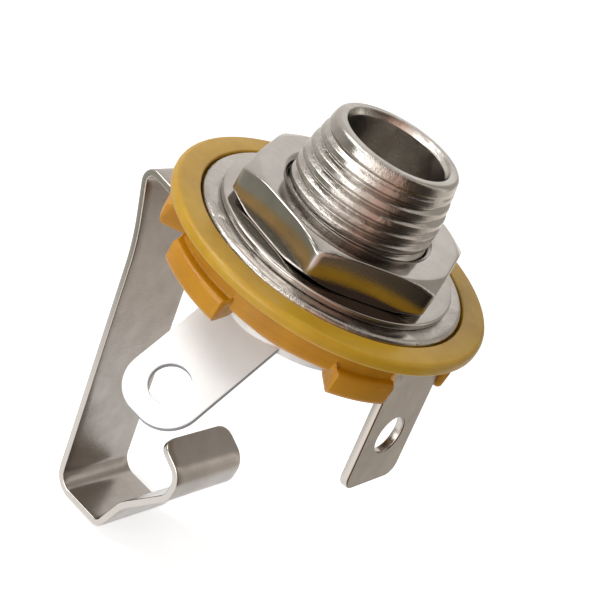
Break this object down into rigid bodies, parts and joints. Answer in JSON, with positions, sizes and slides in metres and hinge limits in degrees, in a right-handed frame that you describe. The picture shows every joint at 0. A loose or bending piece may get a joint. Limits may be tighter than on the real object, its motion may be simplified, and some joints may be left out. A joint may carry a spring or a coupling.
{
  "type": "panel phone jack",
  "caption": "Open-frame quarter-inch panel jack: threaded bushing with nut and washer, amber insulating ring, solder lugs and a hooked tip spring.",
  "frame": {"origin": "centre of the flange's front face, the seat that bears on the panel", "axes": "+Z along the bushing, out of the plug's mouth; +X towards the tip spring, -X towards the tip solder lug"},
  "size_m": [0.0235, 0.0225, 0.0355],
  "materials": {
    "bushing": "bright nickel plate",
    "flat_washer": "bright nickel plate",
    "hex_nut": "bright nickel plate",
    "ring_insulator": "moulded amber plastic",
    "rear_insulator": "moulded amber plastic",
    "tip_terminal": "bright nickel plate",
    "tip_spring": "bright nickel plate",
    "sleeve_terminal": "bright nickel plate"
  },
  "bodies": {
    "jack": {"bushing": "bushing", "ring_insulator": "ring_insulator", "rear_insulator": "rear_insulator", "tip_terminal": "tip_terminal", "sleeve_terminal": "sleeve_terminal"},
    "washer": {"flat_washer": "flat_washer"},
    "nut": {"hex_nut": "hex_nut"},
    "spring": {"tip_spring": "tip_spring"}
  },
  "joints": [
    {"name": "washer_slide", "type": "slide", "parent": "jack", "child": "washer", "axis": [0, 0, 1], "range_m": [0, 0.00397]},
    {"name": "nut_turn", "type": "hinge", "parent": "washer", "child": "nut", "pos_m": [0, 0, 0.00165], "axis": [0, 0, 1], "range_deg": [0, 1800]},
    {"name": "tip_spring_flex", "type": "hinge", "parent": "jack", "child": "spring", "pos_m": [0.0076, 0, -0.0024], "axis": [0, -1, 0], "range_deg": [0, 16], "stiffness_Nm_per_rad": 0.28}
  ],
  "couplings": [
    {"joint": "nut_turn", "follows": "washer_slide", "rad_per_m": 7915.8}
  ]
}
